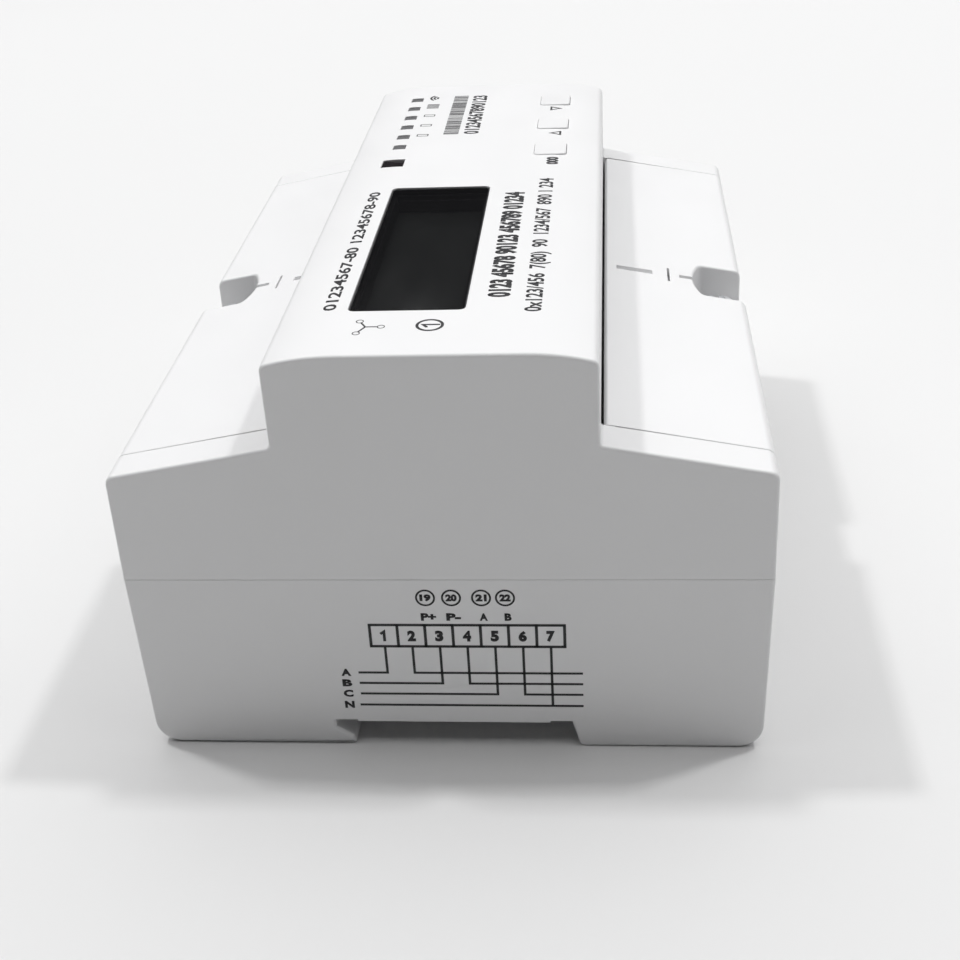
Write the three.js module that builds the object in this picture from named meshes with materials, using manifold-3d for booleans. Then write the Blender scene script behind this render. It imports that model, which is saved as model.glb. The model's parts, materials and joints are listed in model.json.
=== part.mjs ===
// A rail-mounted three-phase smart electricity meter, seven modules wide, modelled as an
// assembly: every separate piece is one named mesh of a THREE.Group.
//
// Millimetres. +X runs along the rail, in the reading direction of the front panel, +Y points
// to the meter's upper edge, and +Z points out of the front panel. The origin is the centre of
// the back, on the plane of the feet.
import * as THREE from "three";
import { mergeVertices } from "three/addons/utils/BufferGeometryUtils.js";
import Module from "manifold-3d";

const wasm = await Module();
wasm.setup();

// ---------------------------------------------------------------- driving dimensions

const GAP = 0.3; // clearance between neighbouring pieces
const WALL = 2;

// Housing: the stepped profile of rail-mounted switchgear.
const LENGTH = 126; // seven modules of 18
const END = LENGTH / 2;
const SEAM_Z = 29.7; // parting plane between the two shells
const SEAM_HALF_WIDTH = 46;
const BACK_HALF_WIDTH = 45.5; // the base narrows towards the back
const SHOULDER_OUTER = { y: 45.8, z: 46.5 };
const SHOULDER_INNER = { y: 22.2, z: 50.9 };
const FRONT_Z = 64.5;
const CROWN_FLAT = 12.5; // half width of the flat middle of the front panel
const CROWN_RADIUS = 36; // the panel's edges fall away on this radius
const CROWN_STEPS = 6; // flats that follow the radius on each side
const BACK_CORNER_RADIUS = 3.6;
const SHOULDER_CORNER_RADIUS = 1.5;
const NOSE_CORNER_RADIUS = 1.2;

// Slot for a 35 mm top-hat rail.
const RAIL_SEAT_Z = 4.2;
const RAIL_HOOK_Y = 17.7;
const RAIL_CLIP_SIDE_Y = -17.5;
const RAIL_FLANGE_ROOM = 1.1;
const RAIL_SEAT_HALF_WIDTH = 14.5; // the seat stands RAIL_RELIEF proud of the corners beside it
const RAIL_RELIEF = 0.3;

// Terminal compartments, one under each cover.
const COVER_HALF_LENGTH = 56.5;
const COMPARTMENT_END = COVER_HALF_LENGTH + GAP;
const TERMINAL_FLOOR_Z = 36.3;
const COVER_SKIRT_Z = 34.15; // lower edge of a cover's skirt
const COVER_THICKNESS = 1.8;
const COVER_GAP = 0.4; // slit between the front panel's wall and a cover
const HINGE_RADIUS = COVER_THICKNESS / 2;
const HINGE_PIN_RADIUS = 0.45;

// Sealing pocket at the middle of each cover; its inner end is a shallow arch.
const POCKET = { halfWidth: 6.3, cornerY: 38.8, deepestY: 37.4, cornerRadius: 1, floorZ: 41, wall: 1.2 };
const POCKET_ARCH_STEPS = 8;
const SEAL_SCREW_Y = 41.5;

// Power terminals, a row along the lower edge.
const TERMINAL_PITCH = 16;
const TERMINAL_COUNT = 7;
const TERMINAL_Y = -34.5;
const CAGE = { width: 11.4, depth: 10, bottom: 12.2, top: 26.4, wall: 1.6, topWall: 2.2 };
const TAB = { bottom: 22.3, thickness: 1.6, width: 7 };
const WIRE_ENTRY = { halfWidth: 4.9, bottom: 13, top: 22.6 };
const TERMINAL_SCREW = { shankRadius: 2.4, headRadius: 3.5, headBottom: 33.7, headTop: 36 };

// Small terminals, a row along the upper edge.
const AUX_PITCH = 6.5;
const AUX_COUNT = 4;
const AUX_FIRST_X = -50;
const AUX_Y = 36;

// Circuit boards.
const BOARD_THICKNESS = 1.6;
const MAIN_BOARD_Z = 10;
const MAIN_BOARD_TOP = MAIN_BOARD_Z + BOARD_THICKNESS;
const DISPLAY_BOARD_Z = 50.9;
const DISPLAY_BOARD_TOP = DISPLAY_BOARD_Z + BOARD_THICKNESS;

// Front panel openings.
const PANEL_BACK_Z = FRONT_Z - WALL;
const WINDOW = { x: [-48.8, 1.6], y: [-3.9, 12.4], radius: 0.9 };
const LCD_TOP_Z = 60.4;
const OPTICAL_PORT = { x: [12.8, 16.8], y: [12.1, 16] };
const LED = { firstX: 23.8, pitch: 5.94, count: 6, y: 14, length: 2.45, width: 2.3 };
const BUTTON = { names: ["set", "up", "down"], firstX: 20.5, pitch: 15, y: -13.2 };
const BUTTON_CAP = { length: 6, width: 5.1, proud: 0.3, corner: 0.5, hole: GAP };

// Rail clips.
const CLIP_X = 31.5;
const CLIP = { flange: 7, neck: 5.4, bottom: 0.3, step: 1.5, top: 3.1, tip: -15.7, tail: -45.4 };

// Case screws, driven in from the back.
const CASE_SCREW = { x: 57.6, y: 38, radius: 1.5, headRadius: 2.8, postRadius: 3 };

// ---------------------------------------------------------------- materials

function material(color, roughness, metalness = 0) {
  return new THREE.MeshStandardMaterial({ color, roughness, metalness });
}
const WHITE_SHELL = material(0xeeeef0, 0.42);
const WHITE_COVER = material(0xf1f1f3, 0.4);
const CLIP_PLASTIC = material(0xdedede, 0.5);
const SMOKED = material(0x101012, 0.12);
const GUIDE = material(0x8c8c8e, 0.35);
const OPTICAL = material(0x0c0c0f, 0.2);
const LCD = material(0x2c312e, 0.25);
const BOARD = material(0x1d5b3a, 0.55);
const COMPONENT = material(0x17171a, 0.5);
const RELAY_CASE = material(0x20242b, 0.55);
const CAN = material(0xb8bbbe, 0.35, 0.9);
const COPPER = material(0xb87333, 0.35, 1);
const BRASS = material(0xc9a24a, 0.35, 1);
const STEEL = material(0xb9bcc0, 0.35, 1);
const TERMINAL_BLOCK = material(0x2d2f33, 0.55);
const RIBBON = material(0x9a9da1, 0.6);

// ---------------------------------------------------------------- solids

// A closed geometry as a solid that can be joined and cut.
function solidOf(geometry) {
  const bare = geometry.clone();
  bare.deleteAttribute("normal");
  bare.deleteAttribute("uv");
  const merged = mergeVertices(bare, 1e-4);
  return new wasm.Manifold(
    new wasm.Mesh({
      numProp: 3,
      vertProperties: new Float32Array(merged.attributes.position.array),
      triVerts: new Uint32Array(merged.index.array),
    }),
  );
}

function meshOf(name, solid, finish) {
  const made = solid.getMesh();
  const geometry = new THREE.BufferGeometry();
  geometry.setAttribute("position", new THREE.BufferAttribute(made.vertProperties, 3));
  geometry.setIndex(new THREE.BufferAttribute(made.triVerts, 1));
  geometry.computeVertexNormals();
  const mesh = new THREE.Mesh(geometry, finish);
  mesh.name = name;
  return mesh;
}

const cut = (solid, tools) => tools.reduce((rest, tool) => rest.subtract(tool), solid);
const join = (solids) => solids.reduce((whole, next) => whole.add(next));
const both = (make) => [make(-1), make(1)];
const range = (count) => Array.from({ length: count }, (_, i) => i);
const middleOut = (centre, half) => [centre - half, centre + half];

function block([x0, x1], [y0, y1], [z0, z1]) {
  const [ax, bx] = [Math.min(x0, x1), Math.max(x0, x1)];
  const [ay, by] = [Math.min(y0, y1), Math.max(y0, y1)];
  const box = new THREE.BoxGeometry(bx - ax, by - ay, z1 - z0);
  box.translate((ax + bx) / 2, (ay + by) / 2, (z0 + z1) / 2);
  return solidOf(box);
}

// An upright round post.
function post(radius, x, y, [z0, z1], sides = 16) {
  const cylinder = new THREE.CylinderGeometry(radius, radius, z1 - z0, sides);
  cylinder.rotateX(Math.PI / 2);
  cylinder.translate(x, y, (z0 + z1) / 2);
  return solidOf(cylinder);
}

// A round pin along X.
function pinX(radius, [x0, x1], y, z, sides = 12) {
  const cylinder = new THREE.CylinderGeometry(radius, radius, x1 - x0, sides);
  cylinder.rotateZ(Math.PI / 2);
  cylinder.translate((x0 + x1) / 2, y, z);
  return solidOf(cylinder);
}

// A closed outline through [a, b, radius] corners, each rounded with its own radius by an arc
// that takes the given number of steps for a quarter turn.
function outline(corners, quarterSteps) {
  const points = corners.flatMap(([a, b, radius = 0], i) => {
    const here = new THREE.Vector2(a, b);
    if (radius === 0) return [here];
    const [pa, pb] = corners[(i + corners.length - 1) % corners.length];
    const [na, nb] = corners[(i + 1) % corners.length];
    const back = new THREE.Vector2(pa, pb).sub(here).normalize();
    const on = new THREE.Vector2(na, nb).sub(here).normalize();
    const half = Math.acos(back.dot(on)) / 2;
    const start = here.clone().addScaledVector(back, radius / Math.tan(half));
    const middle = back.clone().add(on).normalize();
    const centre = here.clone().addScaledVector(middle, radius / Math.sin(half));
    const sweep = (Math.PI - 2 * half) * -Math.sign(back.cross(on));
    const steps = Math.max(2, Math.round((Math.abs(sweep) / (Math.PI / 2)) * quarterSteps));
    return range(steps + 1).map((k) => start.clone().rotateAround(centre, (sweep * k) / steps));
  });
  return new THREE.Shape(points);
}

function extrude(shape, depth) {
  return new THREE.ExtrudeGeometry(shape, { depth, bevelEnabled: false });
}

const X_AXIS = new THREE.Vector3(1, 0, 0);
const Y_AXIS = new THREE.Vector3(0, 1, 0);
const Z_AXIS = new THREE.Vector3(0, 0, 1);

// A (y, z) outline, carried along X.
function alongX(corners, [x0, x1], quarterSteps = 4) {
  const bar = extrude(outline(corners, quarterSteps), x1 - x0);
  bar.applyMatrix4(new THREE.Matrix4().makeBasis(Y_AXIS, Z_AXIS, X_AXIS));
  bar.translate(x0, 0, 0);
  return solidOf(bar);
}

// An (x, y) outline, carried along Z.
function alongZ(corners, [z0, z1], quarterSteps = 4) {
  const bar = extrude(outline(corners, quarterSteps), z1 - z0);
  bar.translate(0, 0, z0);
  return solidOf(bar);
}

// ---------------------------------------------------------------- shared places

const terminalX = (i) => (i - (TERMINAL_COUNT - 1) / 2) * TERMINAL_PITCH;
const auxX = (i) => AUX_FIRST_X + i * AUX_PITCH;
const buttonX = (i) => BUTTON.firstX + i * BUTTON.pitch;
const ledX = (i) => LED.firstX + i * LED.pitch;
const TERMINALS = range(TERMINAL_COUNT);
const CORNERS = both((sx) => both((sy) => [sx * CASE_SCREW.x, sy * CASE_SCREW.y])).flat();

const SHOULDER_DROP = SHOULDER_INNER.z - SHOULDER_OUTER.z;
const SHOULDER_RUN = SHOULDER_OUTER.y - SHOULDER_INNER.y;
const SHOULDER_ANGLE = Math.atan2(SHOULDER_DROP, SHOULDER_RUN);
const shoulderZ = (y) => SHOULDER_INNER.z - ((y - SHOULDER_INNER.y) * SHOULDER_DROP) / SHOULDER_RUN;
const crownZ = (y) => FRONT_Z - Math.max(0, y - CROWN_FLAT) ** 2 / (2 * CROWN_RADIUS);

// The axis that a cover turns on lies in the middle of its rounded inner edge.
const HINGE_Y = SHOULDER_INNER.y + COVER_GAP + HINGE_RADIUS;
const HINGE_Z = shoulderZ(HINGE_Y) - HINGE_RADIUS / Math.cos(SHOULDER_ANGLE);

// An upright slab over x and y, with its four upright edges rounded.
function slab([x0, x1], [y0, y1], radius, z) {
  return alongZ([[x0, y0, radius], [x1, y0, radius], [x1, y1, radius], [x0, y1, radius]], z, 3);
}

// A cut for an opening in the front panel, with square or rounded corners.
function panelOpening(x, y, { margin = 0, radius = 0 } = {}) {
  const grow = ([low, high]) => [low - margin, high + margin];
  return slab(grow(x), grow(y), radius, [PANEL_BACK_Z - 4, FRONT_Z + 2]);
}

// ---------------------------------------------------------------- housing

// Back shell: feet, rail slot with its fixed hook, terminal compartments and wire entries.
function baseHousing() {
  const lip = SEAM_Z - GAP / 2;
  const reliefZ = RAIL_SEAT_Z + RAIL_RELIEF;
  const body = alongX(
    [
      [RAIL_SEAT_HALF_WIDTH, RAIL_SEAT_Z],
      [RAIL_SEAT_HALF_WIDTH, reliefZ],
      [RAIL_HOOK_Y, reliefZ],
      [RAIL_HOOK_Y, RAIL_SEAT_Z - RAIL_FLANGE_ROOM],
      [RAIL_HOOK_Y - 2.5, 1.2],
      [RAIL_HOOK_Y - 2.9, 0, 0.4],
      [BACK_HALF_WIDTH, 0, BACK_CORNER_RADIUS],
      [SEAM_HALF_WIDTH, lip],
      [-SEAM_HALF_WIDTH, lip],
      [-BACK_HALF_WIDTH, 0, BACK_CORNER_RADIUS],
      [RAIL_CLIP_SIDE_Y - 1.2, 0],
      [RAIL_CLIP_SIDE_Y, reliefZ],
      [-RAIL_SEAT_HALF_WIDTH, reliefZ],
      [-RAIL_SEAT_HALF_WIDTH, RAIL_SEAT_Z],
    ],
    [-END, END],
    7,
  );
  const inside = SEAM_HALF_WIDTH - 0.2 - WALL;
  const floor = 6;
  const cavity = block([WALL - END, END - WALL], [-inside, inside], [floor, SEAM_Z]);
  const footHollows = [
    block([-54, 54], [21.5, 43], [2.2, floor + 1]),
    block([-22, 22], [-43, -21.5], [2.2, floor + 1]),
    ...both((s) => block([s * 41, s * 54], [-43, -21.5], [2.2, floor + 1])),
  ];
  const wireEntries = TERMINALS.map((i) => {
    const { halfWidth, bottom, top } = WIRE_ENTRY;
    return block(middleOut(terminalX(i), halfWidth), [-50, 1 - inside], [bottom, top]);
  });
  const auxEntries = range(AUX_COUNT).map((i) =>
    block(middleOut(auxX(i), 1.8), [inside - 1, 50], [17, 21]),
  );
  const clipSlots = both((s) =>
    join([
      block(middleOut(s * CLIP_X, CLIP.flange + GAP), [-50, -14], [CLIP.step - GAP, 3.4]),
      block(middleOut(s * CLIP_X, CLIP.neck + GAP), [-50, -14], [-1, CLIP.step]),
    ]),
  );
  const screwHoles = CORNERS.map(([x, y]) =>
    join([post(1.9, x, y, [-1, floor + 1]), post(3.4, x, y, [-1, 3.2])]),
  );
  const partitions = range(TERMINAL_COUNT - 1).map((i) =>
    block(middleOut(terminalX(i + 0.5), 0.8), [-inside - 0.5, -27], [floor - 0.5, 28.5]),
  );
  const standoffs = both((sx) =>
    both((sy) => post(2.5, sx * 50, sy * 19, [floor - 0.5, MAIN_BOARD_Z - GAP], 12)),
  ).flat();
  const hollow = cut(body, [cavity, ...footHollows, ...wireEntries, ...auxEntries]);
  return cut(join([hollow, ...partitions, ...standoffs]), [...clipSlots, ...screwHoles]);
}

// Front shell: the raised panel, the end walls and the floors of the terminal compartments.
function frontHousing() {
  const bottom = SEAM_Z + GAP / 2;
  const crownRun = (SHOULDER_INNER.y - NOSE_CORNER_RADIUS - CROWN_FLAT) / CROWN_STEPS;
  const crownEdges = range(CROWN_STEPS).map((i) => CROWN_FLAT + (CROWN_STEPS - 1 - i) * crownRun);
  const half = [
    [SEAM_HALF_WIDTH, bottom],
    [SHOULDER_OUTER.y, SHOULDER_OUTER.z, SHOULDER_CORNER_RADIUS],
    [SHOULDER_INNER.y, SHOULDER_INNER.z, 0.5],
    [SHOULDER_INNER.y, crownZ(SHOULDER_INNER.y), NOSE_CORNER_RADIUS],
    ...crownEdges.map((y) => [y, crownZ(y)]),
  ];
  const mirrored = half.map(([y, ...rest]) => [-y, ...rest]).reverse();
  const body = alongX([...half, ...mirrored], [-END, END]);

  const outerWall = 42; // inner face of the strip of wall under a cover
  const lowerCavity = block(
    [WALL - END, END - WALL],
    [-outerWall, outerWall],
    [bottom - 1, TERMINAL_FLOOR_Z - WALL],
  );
  const noseInside = SHOULDER_INNER.y - WALL;
  const noseCavity = block(
    [WALL - END, END - WALL],
    [-noseInside, noseInside],
    [bottom - 1, PANEL_BACK_Z],
  );
  const compartments = both((s) =>
    join([
      block(
        [-COMPARTMENT_END, COMPARTMENT_END],
        [s * SHOULDER_INNER.y, s * 50],
        [TERMINAL_FLOOR_Z, FRONT_Z],
      ),
      block([-COMPARTMENT_END, COMPARTMENT_END], [s * 43.7, s * 50], [COVER_SKIRT_Z - GAP, FRONT_Z]),
    ]),
  );
  const endHollows = both((sx) =>
    both((sy) =>
      alongX(
        [
          [sy * SHOULDER_INNER.y, 32],
          [sy * 43, 32],
          [sy * 43, shoulderZ(43) - WALL],
          [sy * SHOULDER_INNER.y, SHOULDER_INNER.z - WALL],
        ],
        sx > 0 ? [COMPARTMENT_END + 1.8, END - WALL] : [WALL - END, -COMPARTMENT_END - 1.8],
      ),
    ),
  ).flat();
  const screwWells = TERMINALS.map((i) =>
    post(4, terminalX(i), TERMINAL_Y, [TERMINAL_FLOOR_Z - WALL - 1, TERMINAL_FLOOR_Z + 1]),
  );
  const auxWells = range(AUX_COUNT).map((i) =>
    post(2.5, auxX(i), AUX_Y, [TERMINAL_FLOOR_Z - WALL - 1, TERMINAL_FLOOR_Z + 1], 12),
  );
  const sealSlots = both((s) =>
    join([
      post(1.9, 0, s * SEAL_SCREW_Y, [31, TERMINAL_FLOOR_Z + 1], 12),
      block([-1.8, 1.8], [s * SEAL_SCREW_Y, s * 50], [COVER_SKIRT_Z - GAP, TERMINAL_FLOOR_Z + 1]),
    ]),
  );
  const hingeHoles = both((sx) =>
    both((sy) => {
      const wall = [COMPARTMENT_END - 1, COMPARTMENT_END + 2.5];
      const x = sx > 0 ? wall : wall.map((v) => -v).reverse();
      return pinX(HINGE_PIN_RADIUS + GAP, x, sy * HINGE_Y, HINGE_Z);
    }),
  ).flat();
  const openings = [
    panelOpening(WINDOW.x, WINDOW.y, { radius: WINDOW.radius }),
    panelOpening(OPTICAL_PORT.x, OPTICAL_PORT.y),
    ...range(LED.count).map((i) =>
      panelOpening(middleOut(ledX(i), LED.length / 2), middleOut(LED.y, LED.width / 2)),
    ),
    ...range(BUTTON.names.length).map((i) =>
      panelOpening(
        middleOut(buttonX(i), BUTTON_CAP.length / 2),
        middleOut(BUTTON.y, BUTTON_CAP.width / 2),
        { margin: BUTTON_CAP.hole, radius: BUTTON_CAP.corner + BUTTON_CAP.hole },
      ),
    ),
  ];
  const screwPosts = CORNERS.map(([x, y]) =>
    post(CASE_SCREW.postRadius, x, y, [7, TERMINAL_FLOOR_Z - WALL + 0.5], 12),
  );
  const pilotHoles = CORNERS.map(([x, y]) => post(1.8, x, y, [6, 19], 12));
  const shell = cut(body, [lowerCavity, noseCavity, ...compartments, ...endHollows]);
  return cut(join([shell, ...screwPosts]), [
    ...pilotHoles,
    ...screwWells,
    ...auxWells,
    ...sealSlots,
    ...hingeHoles,
    ...openings,
  ]);
}

// Self-tapping screws that hold the two shells together from the back.
function caseScrew() {
  const head = post(CASE_SCREW.headRadius, 0, 0, [0.7, 2.9], 12);
  const shank = post(CASE_SCREW.radius, 0, 0, [2.8, 18], 10);
  const recess = [block([-1.7, 1.7], [-0.4, 0.4], [0, 1.9]), block([-0.4, 0.4], [-1.7, 1.7], [0, 1.9])];
  return cut(head.add(shank), recess);
}

// ---------------------------------------------------------------- terminal covers

// Outline of the sealing pocket in (x, y), open at the cover's outer edge.
function pocketOutline(side, grow) {
  const half = POCKET.halfWidth + grow;
  const rise = POCKET.cornerY - POCKET.deepestY;
  const arch = range(POCKET_ARCH_STEPS + 1).map((i) => {
    const across = (2 * i) / POCKET_ARCH_STEPS - 1;
    const radius = Math.abs(across) === 1 ? POCKET.cornerRadius + grow / 2 : 0;
    return [across * half, side * (POCKET.deepestY - grow + rise * across ** 2), radius];
  });
  return [[-half, side * 50], ...arch, [half, side * 50]];
}

// A hinged cover: sloped plate with a rounded hinge edge, a skirt, and the sealing pocket.
function terminalCover(side) {
  const x = [-COVER_HALF_LENGTH, COVER_HALF_LENGTH];
  const t = COVER_THICKNESS;
  const drop = t / Math.cos(SHOULDER_ANGLE);
  const inner = SHOULDER_OUTER.y - t;
  const hingeEdge = HINGE_Y - HINGE_RADIUS;
  const section = (outer, lower) =>
    [
      [hingeEdge, shoulderZ(hingeEdge), HINGE_RADIUS * 0.95],
      [SHOULDER_OUTER.y, SHOULDER_OUTER.z, SHOULDER_CORNER_RADIUS],
      [outer, lower],
      [outer - t, lower],
      [inner, shoulderZ(inner) - drop, 0.6],
      [hingeEdge, shoulderZ(hingeEdge) - drop, HINGE_RADIUS * 0.95],
    ].map(([y, ...rest]) => [side * y, ...rest]);
  const plate = alongX(section(SHOULDER_OUTER.y + 0.1, COVER_SKIRT_Z), x);
  const below = alongX(
    [
      [side * 30, 30],
      [side * (SHOULDER_OUTER.y - 0.15), 30],
      [side * (SHOULDER_OUTER.y - 0.15), shoulderZ(SHOULDER_OUTER.y) - 1],
      [side * 30, shoulderZ(30) - 1],
    ],
    x,
  );
  const cup = alongZ(pocketOutline(side, POCKET.wall), [POCKET.floorZ - POCKET.wall, 52]);
  const pocket = alongZ(pocketOutline(side, 0), [POCKET.floorZ, 60]);
  const screwHole = post(1.85, 0, side * SEAL_SCREW_Y, [30, 45], 12);
  const pins = both((s) => {
    const run = [COVER_HALF_LENGTH - 1, COVER_HALF_LENGTH + 1.5];
    const x = s > 0 ? run : run.map((v) => -v).reverse();
    return pinX(HINGE_PIN_RADIUS, x, side * HINGE_Y, HINGE_Z, 10);
  });

  // Marks along the middle: a broad groove, a fine cross groove and a short groove.
  const groove = (halfX, [y0, y1], depth) =>
    block([-halfX, halfX], [side * y0, side * y1], [shoulderZ((y0 + y1) / 2) - depth, 60]);
  const marks = [
    groove(0.8, [24.6, 30.6], 0.9),
    groove(2.8, [33.1, 33.5], 1.2),
    groove(0.6, [35.1, POCKET.deepestY + 1], 0.7),
  ];
  const body = join([plate, cup.intersect(below), ...pins]);
  return cut(body, [pocket, screwHole, ...marks]);
}

// Captive screw in a sealing pocket, with a drilled head for the sealing wire.
function sealScrew() {
  const head = post(2.7, 0, 0, [POCKET.floorZ + GAP, POCKET.floorZ + 2.9], 14);
  const shank = post(1.5, 0, 0, [35, POCKET.floorZ + 1], 10);
  const slot = block([-4, 4], [-0.4, 0.4], [POCKET.floorZ + 2, 50]);
  const wireHole = pinX(0.45, [-4, 4], 0, POCKET.floorZ + 1.2, 8);
  return cut(head.add(shank), [slot, wireHole]);
}

// ---------------------------------------------------------------- front panel pieces

// Smoked pane: it fills its opening and has a flange behind the panel.
function displayWindow() {
  const shrink = ([low, high], by) => [low + by, high - by];
  const across = shrink(WINDOW.y, GAP);
  const pane = slab(shrink(WINDOW.x, GAP), across, WINDOW.radius - GAP, [61, FRONT_Z - 0.2]);
  const flange = block(shrink(WINDOW.x, -1.4), shrink(WINDOW.y, -1.4), [61, PANEL_BACK_Z - GAP]);
  return pane.add(flange);
}

// Liquid-crystal cell on its backlight frame.
function lcdModule() {
  const frame = block([-50.4, 3.2], [-5.4, 13.9], [DISPLAY_BOARD_TOP + GAP, 57.6]);
  const glass = block([-49.2, 2], [-4.3, 12.8], [57.2, LCD_TOP_Z]);
  return frame.add(glass);
}

// One button cap: the key top, a flange behind the panel and a stem above its switch.
function buttonCap() {
  const { length, width, proud, corner } = BUTTON_CAP;
  const key = slab(
    middleOut(0, length / 2),
    middleOut(0, width / 2),
    corner,
    [61.2, FRONT_Z + proud],
  );
  const flange = block(middleOut(0, length / 2 + 0.8), middleOut(0, width / 2 + 0.8), [60.6, 61.8]);
  const stem = post(1.2, 0, 0, [57.2, 60.8], 10);
  return join([key, flange, stem]);
}

// Tactile switch: square body with its round plunger.
function tactSwitch() {
  const body = block([-3, 3], [-3, 3], [DISPLAY_BOARD_TOP + GAP, 55.4]);
  return body.add(post(1.7, 0, 0, [55.3, 56.2], 12));
}

// Comb-shaped guide that carries the light of six indicators to the panel.
function ledLightGuide() {
  const spine = block([ledX(0) - 2, ledX(LED.count - 1) + 2], [12.6, 15.4], [55.2, 57.6]);
  const prongs = range(LED.count).map((i) =>
    block(
      middleOut(ledX(i), LED.length / 2 - GAP),
      middleOut(LED.y, LED.width / 2 - GAP),
      [57.2, FRONT_Z - 0.25],
    ),
  );
  return join([spine, ...prongs]);
}

// Dark pane over the infrared optical port.
function opticalPort() {
  const { x, y } = OPTICAL_PORT;
  const lens = block([x[0] + GAP, x[1] - GAP], [y[0] + GAP, y[1] - GAP], [55, FRONT_Z - 0.25]);
  const foot = block([x[0] - 0.8, x[1] + 0.8], [y[0] - 0.8, y[1] + 0.8], [53, 60]);
  return lens.add(foot);
}

// ---------------------------------------------------------------- electrics

function displayBoard() {
  return block([-57, 57], [-18.8, 18.8], [DISPLAY_BOARD_Z, DISPLAY_BOARD_TOP]);
}

function mainBoard() {
  return block([-54, 54], [-25, 42.4], [MAIN_BOARD_Z, MAIN_BOARD_TOP]);
}

// Radio module hanging under the display board: its board and screening can.
function wifiModule() {
  const board = block([-50, -26], [-8, 8], [49.6, DISPLAY_BOARD_Z - GAP]);
  const can = block([-43.5, -27], [-7, 7], [47, 49.8]);
  return board.add(can);
}

// Two windings' bobbin inside a laminated core.
function supplyTransformer() {
  const z = MAIN_BOARD_TOP + GAP;
  const core = block([-20, 2], [16, 34], [z, z + 16]);
  const winding = block([-17, -1], [13.5, 36.5], [z + 1.5, z + 13]);
  return core.add(winding);
}

function storageCapacitor() {
  return post(5, 16, 25, [MAIN_BOARD_TOP + GAP, 30], 18);
}

// Ring-shaped current transformer; the line busbar of its phase passes through the window.
function currentTransformer() {
  const middle = TAB.bottom + TAB.thickness / 2;
  const body = alongX(
    [
      [-24, MAIN_BOARD_TOP + GAP],
      [-14.5, MAIN_BOARD_TOP + GAP],
      [-14.5, 31],
      [-24, 31],
    ],
    [-7, 7],
  );
  return body.subtract(
    block(middleOut(0, TAB.width / 2 + 0.6), [-30, -10], middleOut(middle, TAB.thickness / 2 + 0.6)),
  );
}

function relay() {
  const z = MAIN_BOARD_TOP + GAP;
  const body = block([-13.5, 13.5], [-8.5, 10.5], [z, z + 16]);
  const lid = block([-12.7, 12.7], [-7.7, 9.7], [z + 15.5, z + 17]);
  return body.add(lid);
}

// Copper strap: the terminal's contact tab, a straight run, and a leg bent down at its end.
function busbar(endY) {
  const top = TAB.bottom + TAB.thickness;
  return alongX(
    [
      [TERMINAL_Y - 5, TAB.bottom],
      [endY - TAB.thickness, TAB.bottom, 0.8],
      [endY - TAB.thickness, MAIN_BOARD_TOP + GAP],
      [endY, MAIN_BOARD_TOP + GAP],
      [endY, top, 1.6],
      [TERMINAL_Y - 5, top],
    ],
    middleOut(0, TAB.width / 2),
    3,
  );
}

// Ribbon from the main board up to the display board.
function ribbonCable() {
  return block([30, 52], [14.4, 15.4], [MAIN_BOARD_TOP + GAP, DISPLAY_BOARD_Z - GAP]);
}

// ---------------------------------------------------------------- terminals

// Rising cage: a square ring that climbs as its screw turns, and pinches the wire under the tab.
function terminalCage() {
  const { width, depth, bottom, top, wall, topWall } = CAGE;
  const ring = block(middleOut(0, width / 2), middleOut(0, depth / 2), [bottom, top]);
  const mouth = block(
    middleOut(0, width / 2 - wall),
    middleOut(0, depth),
    [bottom + wall, top - topWall],
  );
  return cut(ring, [mouth, post(3, 0, 0, [top - topWall - 1, top + 1], 12)]);
}

// Terminal screw with a cross recess; it turns in place and its tip bears on the tab.
function terminalScrew() {
  const { shankRadius, headRadius, headBottom, headTop } = TERMINAL_SCREW;
  const head = post(headRadius, 0, 0, [headBottom, headTop], 16);
  const shank = post(shankRadius, 0, 0, [TAB.bottom + TAB.thickness + GAP, headBottom + 0.5], 12);
  const arm = (x, y) => block([-x, x], [-y, y], [headTop - 1.5, headTop + 1]);
  return cut(head.add(shank), [arm(2.5, 0.55), arm(0.55, 2.5)]);
}

// Moulded block with four small screw terminals.
function auxTerminalBlock() {
  const middle = auxX((AUX_COUNT - 1) / 2);
  const body = block(
    middleOut(middle, (AUX_COUNT * AUX_PITCH) / 2),
    [30.5, 41.6],
    [MAIN_BOARD_TOP + GAP, TERMINAL_FLOOR_Z - WALL - GAP],
  );
  const wells = range(AUX_COUNT).map((i) => post(2.3, auxX(i), AUX_Y, [24, 40], 12));
  const entries = range(AUX_COUNT).map((i) =>
    block(middleOut(auxX(i), 1.5), [33, 45], [17.4, 20.6]),
  );
  return cut(body, [...wells, ...entries]);
}

function auxScrew() {
  const head = post(1.9, 0, 0, [32, 34], 12);
  const shank = post(1.2, 0, 0, [24.3, 32.5], 8);
  return head.add(shank).subtract(block([-3, 3], [-0.3, 0.3], [33.1, 35]));
}

// ---------------------------------------------------------------- rail clip

// Sliding clip: a T-section slide whose bevelled tip reaches under the rail's flange.
function railClip() {
  const { flange, neck, bottom, step, top, tip, tail } = CLIP;
  const slide = block([-flange, flange], [tail, tip], [step, top]);
  const spine = block([-neck, neck], [tail, tip], [bottom, step + 0.2]);
  const bevel = alongX(
    [
      [tip + 0.5, bottom - 0.5],
      [tip - 1.6, bottom - 0.5],
      [tip + 0.5, bottom + 1.9],
    ],
    [-10, 10],
  );
  const driverSlot = block([-2.6, 2.6], [tail + 1.6, tail + 3.4], [-1, top + 1]);
  return cut(slide.add(spine), [bevel, driverSlot]);
}

// ---------------------------------------------------------------- assembly

const meter = new THREE.Group();

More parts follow.
